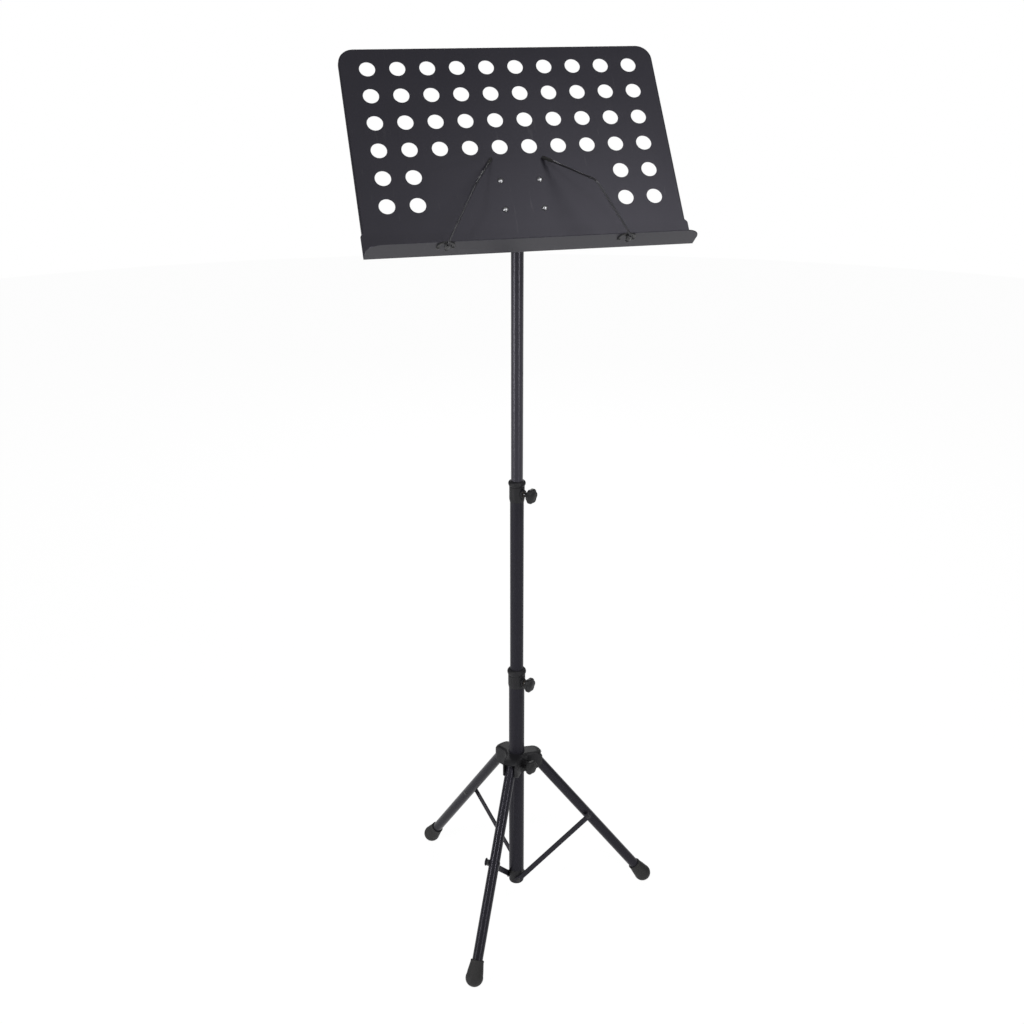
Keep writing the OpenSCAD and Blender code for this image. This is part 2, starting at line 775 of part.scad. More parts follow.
module foot(i) {
    rim = leg_len - foot_neck;
    color("#141415") intersection() {
        on_leg(i) difference() {
            union() {
                translate([0, 0, rim]) round_disc(11.2, 5, 1.6);
                translate([0, 0, rim + 2]) cylinder(r1 = 10.6, r2 = foot_r - 0.5, h = foot_neck - 5);
                translate([0, 0, leg_len]) sphere(r = foot_r, $fn = 96);
            }
            translate([0, 0, rim - 1]) cylinder(r = leg_d / 2 + fit, h = tube_end - rim + 1);
        }
        translate([-400, -400, 0]) cube([800, 800, 100]);
    }
}

// ---- spreader braces ----

// Children in the plane of brace i: origin on the lower pin, X up the strap, Y along the pins
module on_brace(i) {
    rotate([0, 0, leg_az(i)]) translate([0, 0, brace_z]) rotate([0, -brace_slope, 0]) children();
}

module brace(i) {
    color("#202024") on_brace(i) translate([0, -brace_side, 0]) rotate([90, 0, 0]) {
        linear_extrude(brace_t) difference() {
            union() {
                translate([0, -brace_w / 2]) square([brace_len, brace_w]);
                for (x = [0, brace_len]) translate([x, 0]) circle(r = eye_r);
            }
            circle(r = lower_pin_r + fit);
            translate([brace_len, 0]) circle(r = brace_pin_r + fit);
        }
    }
}

// Rivet of the leg: through the tube, with a low head on the far side and a spacer towards the strap
module brace_pin(i) {
    reach = brace_side - 0.4;
    color("#8f8f94") on_leg(i) translate([0, 0, brace_at]) rotate([90, 0, 0]) {
        translate([0, 0, -leg_d / 2]) cylinder(r = brace_pin_r, h = leg_d / 2 + reach);
        translate([0, 0, -leg_d / 2]) rotate([180, 0, 0]) dome(4, 1);
        translate([0, 0, leg_d / 2]) cylinder(r = 4.5, h = reach - leg_d / 2);
    }
}

// Rivet head on the outer face of the strap, over the leg rivet
module brace_rivet(i) {
    color("#8f8f94") rotate([0, 0, leg_az(i)]) translate([brace_eye[0], -brace_side, brace_eye[1]])
        rotate([90, 0, 0]) {
            cylinder(r = brace_pin_r, h = brace_t);
            translate([0, 0, brace_t]) dome(4.5, 1.4);
        }
}

desk_plate();
desk_rivets();
tilt_bracket();
tilt_bolt();
tilt_washers();
tilt_knob();
desk_holder();
holder_insert();
holder_screw();
holder_knob();
arm_clip("left");  // left_arm_clip
arm_clip("right");  // right_arm_clip
clip_rivets();
arm_wire("left");  // left_arm_wire
arm_wire("right");  // right_arm_wire
arm_tip("left");  // left_arm_tip
arm_tip("right");  // right_arm_tip
upper_tube();
upper_tube_bush();
upper_collar();
upper_clamp_insert();
upper_clamp_screw();
upper_clamp_knob();
middle_tube();
middle_tube_bush();
lower_collar();
lower_clamp_insert();
lower_clamp_screw();
lower_clamp_knob();
lower_tube();
bottom_casting();
brace_lower_pins();
tripod_head();
leg_pins();
head_insert();
head_screw();
head_knob();
for (i = [0:2]) {
    leg_knuckle(i);
    leg_tube(i);
    foot(i);
    brace(i);
    brace_pin(i);
    brace_rivet(i);
}
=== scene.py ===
import json
import math
import bmesh
import bpy
from mathutils import Matrix, Vector


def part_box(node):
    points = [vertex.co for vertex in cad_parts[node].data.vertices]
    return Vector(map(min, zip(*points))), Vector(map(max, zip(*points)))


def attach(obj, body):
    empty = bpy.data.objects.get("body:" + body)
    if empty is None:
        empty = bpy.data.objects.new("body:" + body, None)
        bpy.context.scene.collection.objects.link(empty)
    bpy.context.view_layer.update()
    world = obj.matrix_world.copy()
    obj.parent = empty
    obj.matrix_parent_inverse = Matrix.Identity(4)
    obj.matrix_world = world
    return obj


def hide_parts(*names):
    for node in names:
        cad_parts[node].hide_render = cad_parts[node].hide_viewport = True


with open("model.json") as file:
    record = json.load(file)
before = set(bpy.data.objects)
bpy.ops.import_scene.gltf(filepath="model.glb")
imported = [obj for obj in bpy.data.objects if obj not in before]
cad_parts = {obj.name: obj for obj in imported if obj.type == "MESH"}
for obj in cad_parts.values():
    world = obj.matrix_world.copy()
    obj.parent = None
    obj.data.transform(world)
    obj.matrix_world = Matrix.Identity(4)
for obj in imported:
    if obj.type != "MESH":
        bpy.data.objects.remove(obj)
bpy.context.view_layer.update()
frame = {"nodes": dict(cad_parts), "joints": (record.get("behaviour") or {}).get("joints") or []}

joints = {joint["name"]: joint for joint in frame["joints"]}
legs = ("front", "right", "rear")
fullTurn = 2 * math.pi
print("frame loaded:", len(frame["nodes"]), "nodes")

# Camera: a standing viewer a little left of the middle, looking down at the stand
viewer = {"place": (-0.508, -1.918, 1.537), "aim": (-0.0076, 0.002, 0.744), "lens": 47.2,
          "sensor": 36, "nearest": 0.05}
camera = bpy.data.objects.new("camera", bpy.data.cameras.new("camera"))
bpy.context.scene.collection.objects.link(camera)
camera.data.lens = viewer["lens"]
camera.data.sensor_width = viewer["sensor"]
camera.data.clip_start = viewer["nearest"]
camera.location = viewer["place"]
lookAlong = Vector(viewer["aim"]) - Vector(viewer["place"])
camera.rotation_euler = lookAlong.to_track_quat("-Z", "Y").to_euler()
bpy.context.scene.camera = camera
bpy.context.scene.view_settings.view_transform = "Standard"


class Wire:
    # an output socket; sums and products on it add Math nodes
    def __init__(self, tree, socket):
        self.tree = tree
        self.socket = socket

    def maths(self, operation, first, second):
        return self.tree.add("ShaderNodeMath", {"operation": operation}, {0: first, 1: second})

    def __add__(self, other):
        return self.maths("ADD", self, other)

    def __radd__(self, other):
        return self.maths("ADD", other, self)

    def __sub__(self, other):
        return self.maths("SUBTRACT", self, other)

    def __rsub__(self, other):
        return self.maths("SUBTRACT", other, self)

    def __mul__(self, other):
        return self.maths("MULTIPLY", self, other)

    def __rmul__(self, other):
        return self.maths("MULTIPLY", other, self)


class Tree:
    # the nodes of a material or of the world
    def __init__(self, owner):
        owner.use_nodes = True
        self.nodes = owner.node_tree.nodes
        self.links = owner.node_tree.links

    def feed(self, socket, value):
        if isinstance(value, Wire):
            self.links.new(value.socket, socket)
        else:
            socket.default_value = value

    def add(self, kind, settings=None, inputs=None, output=0):
        node = self.nodes.new(kind)
        for name, value in (settings or {}).items():
            if name == "stops":
                while len(node.color_ramp.elements) < len(value):
                    node.color_ramp.elements.new(0.5)
                for stop, (at, tone) in zip(node.color_ramp.elements, value):
                    stop.position = at
                    stop.color = (tone, tone, tone, 1)
            else:
                setattr(node, name, value)
        for name, value in (inputs or {}).items():
            self.feed(node.inputs[name], value)
        return Wire(self, node.outputs[output])

    def blend(self, factor, first, second):
        return self.add("ShaderNodeMix", {"data_type": "RGBA"},
                        {0: factor, 6: (*first, 1) if isinstance(first, tuple) else first,
                         7: (*second, 1) if isinstance(second, tuple) else second}, output=2)


class Finish(Tree):
    # a material being built round its Principled shader
    def __init__(self, name, **settings):
        self.material = bpy.data.materials.new(name)
        super().__init__(self.material)
        self.shader = self.nodes["Principled BSDF"]
        for socket, value in settings.items():
            self.feed(self.shader.inputs[socket.replace("_", " ")], value)

    def place(self, stretch=(1, 1, 1)):
        here = self.add("ShaderNodeTexCoord", output="Object")
        return self.add("ShaderNodeMapping", None, {"Vector": here, "Scale": stretch})

    def noise(self, scale, detail, at=None, warp=0):
        return self.add("ShaderNodeTexNoise", None,
                        {"Vector": at or self.place(), "Scale": scale, "Detail": detail,
                         "Distortion": warp})

    def ramp(self, value, *stops):
        return self.add("ShaderNodeValToRGB", {"stops": stops}, {"Fac": value})

    def bump(self, height, strength, depth):
        normal = self.add("ShaderNodeBump", None,
                          {"Height": height, "Strength": strength, "Distance": depth})
        self.feed(self.shader.inputs["Normal"], normal)

    def colour(self, value):
        self.feed(self.shader.inputs["Base Color"], value)

    def roughness(self, value):
        self.feed(self.shader.inputs["Roughness"], value)


# Powder coat on the sheet and the tubes: orange peel, faint cloudiness, rubbed scratches
coat = {"tone": (0.0126, 0.0122, 0.0163), "dust": (0.038, 0.036, 0.045),
        "bare": (0.085, 0.083, 0.088), "sheen": (0.90, 0.87, 1, 1), "cloudScale": 7,
        "gritScale": 2600, "scratchScale": 160, "peelScale": 1150, "peel": 0.22,
        "peelDepth": 0.00006}


# rubbed: how far the scratches show; stretch: runs them along a piece
def powderCoat(name, rubbed, stretch, roughness, gloss):
    f = Finish(name, IOR=gloss, Specular_Tint=coat["sheen"])
    cloud = f.noise(coat["cloudScale"], 3)
    grit = f.noise(coat["gritScale"], 1)
    scratch = f.noise(coat["scratchScale"], 3, at=f.place(stretch))
    mark = f.ramp(scratch, (0.66, 0), (0.74, 1)) * rubbed
    tone = f.blend(cloud * 0.30 + grit * 0.18, coat["tone"], coat["dust"])
    f.colour(f.blend(mark * 0.35, tone, coat["bare"]))
    f.roughness(roughness + cloud * 0.08 + grit * 0.05 - mark * 0.12)
    peel = f.noise(coat["peelScale"], 1)
    f.bump(peel + grit * 0.25 - mark * 0.3, coat["peel"], coat["peelDepth"])
    return f.material


sheetCoat = powderCoat("sheetCoat", 0.5, (1, 0.12, 0.12), roughness=0.37, gloss=1.40)
tubeCoat = powderCoat("tubeCoat", 0.6, (1, 1, 0.03), roughness=0.38, gloss=1.24)
legCoat = powderCoat("legCoat", 0.6, (1, 1, 0.1), roughness=0.20, gloss=1.26)
slickCoat = powderCoat("slickCoat", 0.4, (1, 1, 0.03), roughness=0.22, gloss=1.45)
strapCoat = powderCoat("strapCoat", 0.8, (0.3, 0.3, 0.3), roughness=0.42, gloss=1.30)

# Moulded plastic of the head, collars and knobs: fine spark-eroded grain, dusty in places
plastic = {"gloss": 1.32, "lighter": 2.1, "cloudScale": 22, "scuffScale": 70, "pits": 0.28,
           "pitDepth": 0.00010}


def mouldedPlastic(name, tone, roughness, grain):
    f = Finish(name, IOR=plastic["gloss"])
    cloud = f.noise(plastic["cloudScale"], 3)
    pits = f.add("ShaderNodeTexVoronoi", {"feature": "F1"},
                 {"Vector": f.place(), "Scale": grain})
    scuff = f.ramp(f.noise(plastic["scuffScale"], 4, warp=0.6), (0.63, 0), (0.72, 1))
    lighter = tuple(plastic["lighter"] * part for part in tone)
    f.colour(f.blend(cloud * 0.45 + scuff * 0.3, tone, lighter))
    f.roughness(roughness + cloud * 0.10 - scuff * 0.10)
    f.bump(pits * 0.8 + f.noise(grain * 0.4, 2), plastic["pits"], plastic["pitDepth"])
    return f.material


headPlastic = mouldedPlastic("headPlastic", (0.0125, 0.0122, 0.0138), roughness=0.50, grain=1500)
knobPlastic = mouldedPlastic("knobPlastic", (0.0120, 0.0120, 0.0128), roughness=0.46, grain=1900)

# Floor dust gathers on the lowest few millimetres of each rubber foot
rubber = {"tone": (0.0115, 0.0113, 0.0118), "dust": (0.045, 0.043, 0.041), "dustTop": 0.009,
          "gloss": 1.45, "roughness": 0.60, "cloudScale": 30, "grainScale": 1700,
          "grain": 0.25, "grainDepth": 0.00010}


def rubberFinish():
    f = Finish("footRubber", IOR=rubber["gloss"])
    cloud = f.noise(rubber["cloudScale"], 4)
    grain = f.noise(rubber["grainScale"], 2)
    height = f.add("ShaderNodeSeparateXYZ", None, {0: f.place()}, output="Z")
    low = f.add("ShaderNodeMapRange", {"clamp": True},
                {"Value": height, "From Min": rubber["dustTop"], "From Max": 0.0,
                 "To Min": 0, "To Max": 1})
    f.colour(f.blend(cloud * 0.4 + low * 0.5, rubber["tone"], rubber["dust"]))
    f.roughness(rubber["roughness"] + cloud * 0.12 + grain * 0.06)
    f.bump(grain, rubber["grain"], rubber["grainDepth"])
    return f.material


footRubber = rubberFinish()

# Bare and blackened metal: fine brushing, a few darker stains
metal = {"brushScale": 420, "stainScale": 60, "brushing": 0.15, "brushDepth": 0.00005}


def metalFinish(name, tone, stained, roughness, metallic=1.0):
    f = Finish(name, Metallic=metallic)
    brushed = f.noise(metal["brushScale"], 3)
    stain = f.ramp(f.noise(metal["stainScale"], 4), (0.52, 0), (0.75, 1))
    f.colour(f.blend(stain * 0.55 + brushed * 0.2, tone, stained))
    f.roughness(roughness + brushed * 0.12 + stain * 0.15)
    f.bump(brushed, metal["brushing"], metal["brushDepth"])
    return f.material


rivetSteel = metalFinish("rivetSteel", (0.28, 0.28, 0.29), (0.16, 0.16, 0.17), 0.32)
zincSteel = metalFinish("zincSteel", (0.52, 0.52, 0.53), (0.34, 0.34, 0.35), 0.30)
blackSteel = metalFinish("blackSteel", (0.022, 0.022, 0.024), (0.06, 0.058, 0.056), 0.34,
                         metallic=0.5)
wireSteel = metalFinish("wireSteel", (0.034, 0.033, 0.038), (0.020, 0.020, 0.023), 0.30,
                        metallic=0.35)
insertBrass = metalFinish("insertBrass", (0.120, 0.084, 0.040), (0.050, 0.038, 0.024), 0.42)

bush = {"tone": (0.70, 0.70, 0.66), "yellowed": (0.58, 0.57, 0.52), "gloss": 1.46,
        "roughness": 0.45, "cloudScale": 40, "grainScale": 900, "grain": 0.15,
        "grainDepth": 0.00008}


def bushFinish():
    f = Finish("bushPlastic", IOR=bush["gloss"])
    cloud = f.noise(bush["cloudScale"], 3)
    f.colour(f.blend(cloud, bush["tone"], bush["yellowed"]))
    f.roughness(bush["roughness"] + cloud * 0.1)
    f.bump(f.noise(bush["grainScale"], 2), bush["grain"], bush["grainDepth"])
    return f.material


bushPlastic = bushFinish()
print("finishes made")


# Shapes stay in millimetres until finishPiece makes them metres
weldGap = 0.002


# Adds a part shape to a whole at its place
def joinTo(whole, part, place=Matrix()):
    bmesh.ops.remove_doubles(part, verts=part.verts, dist=weldGap)
    bmesh.ops.recalc_face_normals(part, faces=part.faces)
    part.transform(place)
    holder = bpy.data.meshes.new("holder")
    part.to_mesh(holder)
    part.free()
    whole.from_mesh(holder)
    bpy.data.meshes.remove(holder)


# Makes the finished object, smooth with its sharp edges kept, standing for CAD nodes
def finishPiece(name, whole, place, body, material, stands, sharp=38):
    whole.transform(place @ Matrix.Scale(0.001, 4))
    mesh = bpy.data.meshes.new(name)
    whole.to_mesh(mesh)
    whole.free()
    mesh.shade_smooth()
    mesh.set_sharp_from_angle(angle=math.radians(sharp))
    mesh.materials.append(material)
    piece = bpy.data.objects.new(name, mesh)
    bpy.context.scene.collection.objects.link(piece)
    even = piece.modifiers.new("even", "WEIGHTED_NORMAL")
    even.keep_sharp = True
    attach(piece, body)
    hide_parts(*stands)


# A profile of (radius, height) points turned round Z
def turned(profile, steps):
    part = bmesh.new()
    verts = [part.verts.new((radius, 0, height)) for radius, height in profile]
    edges = [part.edges.new(pair) for pair in zip(verts, verts[1:])]
    bmesh.ops.spin(part, geom=verts + edges, cent=(0, 0, 0), axis=(0, 0, 1), angle=fullTurn,
                   steps=steps, use_merge=True)
    return part


# Points of an arc in a profile, about (radius, height), angles in degrees
def arc(centre, size, start, stop, steps):
    turns = [math.radians(start + (stop - start) * i / steps) for i in range(steps + 1)]
    return [(centre[0] + size * math.cos(a), centre[1] + size * math.sin(a)) for a in turns]


# A round bar along corner points, its bends rounded
def bentBar(points, size, bend):
    bendSteps = 8
    route = [Vector(points[0])]
    for before, corner, after in zip(points, points[1:], points[2:]):
        corner = Vector(corner)
        back = (Vector(before) - corner).normalized()
        on = (Vector(after) - corner).normalized()
        for i in range(bendSteps + 1):
            t = i / bendSteps
            route.append(corner + back * bend * (1 - t) ** 2 + on * bend * t ** 2)
    route.append(Vector(points[-1]))
    curve = bpy.data.curves.new("bar", "CURVE")
    curve.dimensions = "3D"
    curve.bevel_depth = size
    curve.bevel_resolution = 4
    curve.use_fill_caps = True
    line = curve.splines.new("POLY")
    line.points.add(len(route) - 1)
    for point, at in zip(line.points, route):
        point.co = (*at, 1)
    bar = bpy.data.objects.new("bar", curve)
    mesh = bpy.data.meshes.new_from_object(bar)
    part = bmesh.new()
    part.from_mesh(mesh)
    bpy.data.objects.remove(bar)
    bpy.data.meshes.remove(mesh)
    return part


# Turns +Z along a direction, with a hint for +Y, and moves to a spot
def aimed(along, spot, side=None):
    z = Vector(along).normalized()
    y = Vector(side) if side else z.orthogonal()
    x = y.cross(z).normalized()
    y = z.cross(x)
    turn = Matrix((x, y, z)).transposed().to_4x4()
    return Matrix.Translation(Vector(spot)) @ turn


# A CAD node's own mesh with its edges eased, in millimetres
def eased(node, width):
    corner = math.radians(30)
    part = bmesh.new()
    part.from_mesh(frame["nodes"][node].data)
    part.transform(Matrix.Scale(1000, 4))
    bmesh.ops.remove_doubles(part, verts=part.verts, dist=0.004)
    bmesh.ops.dissolve_limit(part, angle_limit=math.radians(1), verts=part.verts,
                             edges=part.edges)
    edges = [e for e in part.edges if e.is_manifold and e.calc_face_angle(0) > corner]
    bmesh.ops.bevel(part, geom=edges, offset=width, offset_type="OFFSET", affect="EDGES",
                    segments=2, profile=0.5, material=-1, clamp_overlap=True)
    return part


# Puts a shape in the scene for a moment, so that modifiers can work on it
def passingObject(shape):
    mesh = bpy.data.meshes.new("passing")
    shape.to_mesh(mesh)
    shape.free()
    passing = bpy.data.objects.new("passing", mesh)
    bpy.context.scene.collection.objects.link(passing)
    return passing


# The first passing object's shape with its modifiers applied; all of them are taken away
def applied(*passing):
    bpy.context.view_layer.update()
    solid = bpy.data.meshes.new_from_object(
        passing[0].evaluated_get(bpy.context.evaluated_depsgraph_get()))
    result = bmesh.new()
    result.from_mesh(solid)
    bpy.data.meshes.remove(solid)
    for one in passing:
        mesh = one.data
        bpy.data.objects.remove(one)
        bpy.data.meshes.remove(mesh)
    return result


# Where the desk turns: X across, Z up the sheet, -Y out of its face
tiltJoint = joints["desk_tilt"]
deskOut = Vector(joints["left_arm_turn"]["axis"])
deskPlace = aimed(Vector((1, 0, 0)).cross(-deskOut), tiltJoint["pos_m"], side=-deskOut)

sheet = {"width": 476, "height": 333, "face": -37.7, "fold": -89.6, "thickness": 1.2,
         "corner": 23, "rim": 9, "rimBend": 2.5, "footOver": 3, "footHeight": 39,
         "ledge": 43, "ledgeCorner": 22, "ledgeEase": 0.4, "easeDrop": 0.16, "foldBend": 2,
         "hole": 23.2, "lip": 0.35, "lipDepth": 0.14, "pitch": 44, "columns": 10,
         "fullRows": 4, "sideRows": 2, "topRow": 34.2}
sheetTop = sheet["fold"] + sheet["height"]
bendLine = sheet["fold"] + sheet["foldBend"]
footHalf = sheet["width"] / 2 + sheet["footOver"]
rimCoreX, rimCoreZ = sheet["width"] / 2 - sheet["corner"], sheetTop - sheet["corner"]


# Fills a flat border with faces
def fillBetween(part, edges, normal):
    bmesh.ops.triangle_fill(part, edges=edges, use_beauty=True, use_dissolve=False,
                            normal=normal)


# Draws a chain of points and returns its edges and points
def chain(part, points):
    verts = [part.verts.new(point) for point in points]
    return [part.edges.new(pair) for pair in zip(verts, verts[1:])], verts


# Carries the open edges on by one step; move gives each point's shift
def grow(part, edges, move):
    made = bmesh.ops.extrude_edge_only(part, edges=edges)["geom"]
    for vert in made:
        if isinstance(vert, bmesh.types.BMVert):
            vert.co += move(vert.co)
    return [item for item in made if isinstance(item, bmesh.types.BMEdge)
            and item.is_boundary]


# Border of the flat face: the rim line over the top, the wider feet and the fold line
def sheetBorder(part):
    s = sheet
    flatHalf, flatCorner = s["width"] / 2 - s["rimBend"], s["corner"] - s["rimBend"]
    footTop, footSteps = s["fold"] + s["footHeight"], 12
    rimLine = [(flatHalf, footTop)]
    rimLine += arc((rimCoreX, rimCoreZ), flatCorner, 0, 90, 12)
    rimLine += arc((-rimCoreX, rimCoreZ), flatCorner, 90, 180, 12)
    rimLine += [(-flatHalf, footTop)]
    leftFoot = [(-s["width"] / 2 + 0.4, footTop - 0.1), (-footHalf + 0.5, footTop - 3.6),
                (-footHalf, footTop - 4.8)]
    foldLine = [(-footHalf + 2 * footHalf * i / footSteps, bendLine)
                for i in range(footSteps + 1)]
    rightFoot = [(-x, z) for x, z in reversed(leftFoot)]
    runs = [chain(part, [(x, s["face"], z) for x, z in line])
            for line in (rimLine, leftFoot, foldLine, rightFoot)]
    border = [edge for edges, verts in runs for edge in edges]
    for (edges, verts), (nextEdges, nextVerts) in zip(runs, runs[1:] + runs[:1]):
        border.append(part.edges.new((verts[-1], nextVerts[0])))
    return border, runs[0][0], runs[2]


# Rings of edges for the punched holes, each with its middle
def holeRings(part):
    s = sheet
    rings = []
    for row in range(s["fullRows"] + s["sideRows"]):
        for column in range(s["columns"]):
            side = min(column, s["columns"] - 1 - column)
            if row >= s["fullRows"] and side >= s["sideRows"]:
                continue
            middle = Vector(((column - (s["columns"] - 1) / 2) * s["pitch"], s["face"],
                             sheetTop - s["topRow"] - row * s["pitch"]))
            ring = bmesh.ops.create_circle(
                part, segments=36, radius=s["hole"] / 2 + s["lip"],
                matrix=Matrix.Translation(middle) @ Matrix.Rotation(math.pi / 2, 4, "X"))
            edges = dict.fromkeys(edge for vert in ring["verts"] for edge in vert.link_edges)
            rings.append((list(edges), middle))
    return rings


# Rolls the rim back round its bend, then carries it on straight
def rollRim(part, edges):
    bend, bendSteps = sheet["rimBend"], 6

    def outwards(co):
        core = Vector((max(-rimCoreX, min(rimCoreX, co.x)), co.y, min(rimCoreZ, co.z)))
        return (co - core).normalized()

    for i in range(bendSteps):
        a, b = (math.pi / 2 * j / bendSteps for j in (i, i + 1))
        out = bend * (math.sin(b) - math.sin(a))
        back = bend * (math.cos(a) - math.cos(b))
        edges = grow(part, edges, lambda co: outwards(co) * out + Vector((0, back, 0)))
        edges = [e for e in edges if abs(e.verts[0].co.y - e.verts[1].co.y) < 1e-4]
    grow(part, edges, lambda co: Vector((0, sheet["rim"] - bend, 0)))


# Folds the ledge out of the sheet's foot, with round front corners and an eased edge
def foldLedge(part, lowEdges, lowVerts):
    s = sheet
    fold = bmesh.ops.spin(part, geom=lowVerts + lowEdges, axis=(1, 0, 0), steps=5,
                          cent=(0, s["face"] - s["foldBend"], bendLine), angle=-math.pi / 2)
    backEdges = [item for item in fold["geom_last"] if isinstance(item, bmesh.types.BMEdge)]
    backVerts = sorted({vert for edge in backEdges for vert in edge.verts},
                       key=lambda vert: vert.co.x)
    level = backVerts[0].co.z
    cornerX, cornerY = footHalf - s["ledgeCorner"], s["face"] - s["ledge"] + s["ledgeCorner"]
    outline = arc((cornerX, cornerY), s["ledgeCorner"] - s["ledgeEase"], 0, -90, 10)
    outline += arc((-cornerX, cornerY), s["ledgeCorner"] - s["ledgeEase"], -90, -180, 10)
    frontEdges, frontVerts = chain(part, [(x, y, level) for x, y in outline])
    # each end steps in by the width of the eased edge
    ends = [part.edges.new((backVerts[-1], frontVerts[0])),
            part.edges.new((frontVerts[-1], backVerts[0]))]
    fillBetween(part, backEdges + frontEdges + ends, (0, 0, 1))

    def outwards(co):
        core = Vector((max(-cornerX, min(cornerX, co.x)), max(cornerY, co.y), co.z))
        return (co - core).normalized()

    grow(part, frontEdges,
         lambda co: outwards(co) * s["ledgeEase"] + Vector((0, 0, -s["easeDrop"])))


def deskSheet():
    s = sheet
    part = bmesh.new()
    border, rimEdges, (lowEdges, lowVerts) = sheetBorder(part)
    rings = holeRings(part)
    fillBetween(part, border + [edge for edges, middle in rings for edge in edges], (0, -1, 0))
    for edges, middle in rings:  # a slightly drawn lip round each hole
        grow(part, edges, lambda co: (middle - co).normalized() * s["lip"]
             + Vector((0, s["lipDepth"], 0)))
    rollRim(part, rimEdges)
    foldLedge(part, lowEdges, lowVerts)
    bmesh.ops.remove_doubles(part, verts=part.verts, dist=weldGap)
    bmesh.ops.recalc_face_normals(part, faces=part.faces)
    faceMiddle = Vector((0, s["face"], 0))
    nearest = min(part.faces, key=lambda f: (f.calc_center_median() - faceMiddle).length)
    if nearest.normal.y > 0:  # the wall grows backwards from a skin that looks forwards
        bmesh.ops.reverse_faces(part, faces=part.faces)
    skin = passingObject(part)
    wall = skin.modifiers.new("wall", "SOLIDIFY")
    wall.thickness = s["thickness"]
    wall.offset = -1
    wall.use_even_offset = True
    wall.use_quality_normals = True
    return applied(skin)


finishPiece("deskSheet", deskSheet(), deskPlace, "desk", sheetCoat,
            ["desk_plate"], sharp=32)
print("desk sheet made")

# head stands on the face; tail is the set end behind the bracket
rivet = {"across": 58.2, "up": 45.8, "head": 4.3, "height": 2.4, "edge": 0.35, "shank": 2.5,
         "grip": 3.4, "tail": 1.2, "seat": 0.02}


def deskRivets():
    whole = bmesh.new()
    r = rivet
    under, end = 0.05 - r["grip"], -r["grip"] - r["tail"]
    profile = [(0, end), (r["head"] - 0.8, end), (r["head"], end + 0.7), (r["head"], under),
               (r["shank"], under), (r["shank"], r["seat"]), (r["head"], r["seat"]),
               (r["head"], r["edge"])]
    dome = r["height"] - r["edge"]
    profile += [(r["head"] * math.cos(a), r["edge"] + dome * math.sin(a))
                for a in (math.radians(15 * i) for i in range(1, 6))]
    profile += [(0, r["height"])]
    for x in (-1, 1):
        for z in (-1, 1):
            spot = Vector((x * r["across"] / 2, sheet["face"], z * r["up"] / 2))
            joinTo(whole, turned(profile, 32), aimed((0, -1, 0), spot))
    return whole


finishPiece("deskRivets", deskRivets(), deskPlace, "desk", rivetSteel,
            ["desk_rivets"], sharp=40)

# name: (body, eased edge in millimetres, finish, slot)
easedNodes = {"tilt_bracket": ("desk", 0.45, strapCoat, "black_powder_coat"),
              "desk_holder": ("holder", 1.0, headPlastic, "black_moulded_plastic"),
              "front_brace": ("front_brace", 0.5, strapCoat, "black_powder_coat"),
              "right_brace": ("right_brace", 0.5, strapCoat, "black_powder_coat"),
              "rear_brace": ("rear_brace", 0.5, strapCoat, "black_powder_coat")}
for node, (body, width, material, slotName) in easedNodes.items():
    finishPiece(node + "_eased", eased(node, width), Matrix(), body, material,
                [node], sharp=35)
print("bracket, holder and braces made")

arm = {"wire": 1.5, "across": 130.7, "drop": 6.8, "front": 6.2, "tail": 12, "bend": 7,
       "knee": (-44.3, -31.8, 73), "tip": (-91.7, -3.3, 152.7), "stop": 2.4,
       "sleeve": 2.3, "sleeveLength": 24}
clip = {"bow": 10.5, "width": 4.2, "thickness": 2.2, "ease": 0.6, "leg": 7, "setBack": 10,
        "barrel": 3.8, "barrelLength": 9.5, "barrelBack": 6.7, "neck": (5, 9.3),
        "neckBack": 1.95, "neckRound": 1.2}
ledgeFront = sheet["face"] - sheet["ledge"]
ledgeUnder = sheet["fold"] - sheet["thickness"]
armLevel = sheet["fold"] - arm["drop"]


def armPoints(side):
    x = arm["across"]
    kneeX, kneeY, kneeZ = arm["knee"]
    tipX, tipY, tipZ = arm["tip"]
    points = [(x, ledgeFront + arm["tail"], armLevel), (x, ledgeFront - arm["front"], armLevel),
              (x + kneeX, ledgeFront + kneeY, armLevel + kneeZ),
              (x + tipX, sheet["face"] + tipY, armLevel + tipZ)]
    return [Vector((side * px, py, pz)) for px, py, pz in points]


def armWire(side):
    whole = bmesh.new()
    points = armPoints(side)
    joinTo(whole, bentBar(points, arm["wire"], arm["bend"]))
    size = arm["stop"]
    stop = turned([(0, 0), (size - 0.4, 0), (size, 0.4), (size, 1.2), (size - 0.4, 1.6),
                   (0, 1.6)], 24)
    joinTo(whole, stop, aimed((0, -1, 0), points[0] + Vector((0, 1, 0))))
    return whole


def armSleeve(side):
    points = armPoints(side)
    along = (points[2] - points[3]).normalized()
    size, length, bore = arm["sleeve"], arm["sleeveLength"] - arm["sleeve"], arm["wire"]
    profile = [(0, -size)] + arc((0, 0), size, -80, 0, 8)
    profile += [(size, length * 0.6), (size * 0.93, length - 0.8)]
    profile += arc((size * 0.93 - 0.6, length - 0.6), 0.6, 0, 90, 3)
    profile += [(bore + 0.02, length), (bore + 0.02, 2), (0, 2)]
    whole = bmesh.new()
    joinTo(whole, turned(profile, 28), aimed(along, points[3]))
    return whole


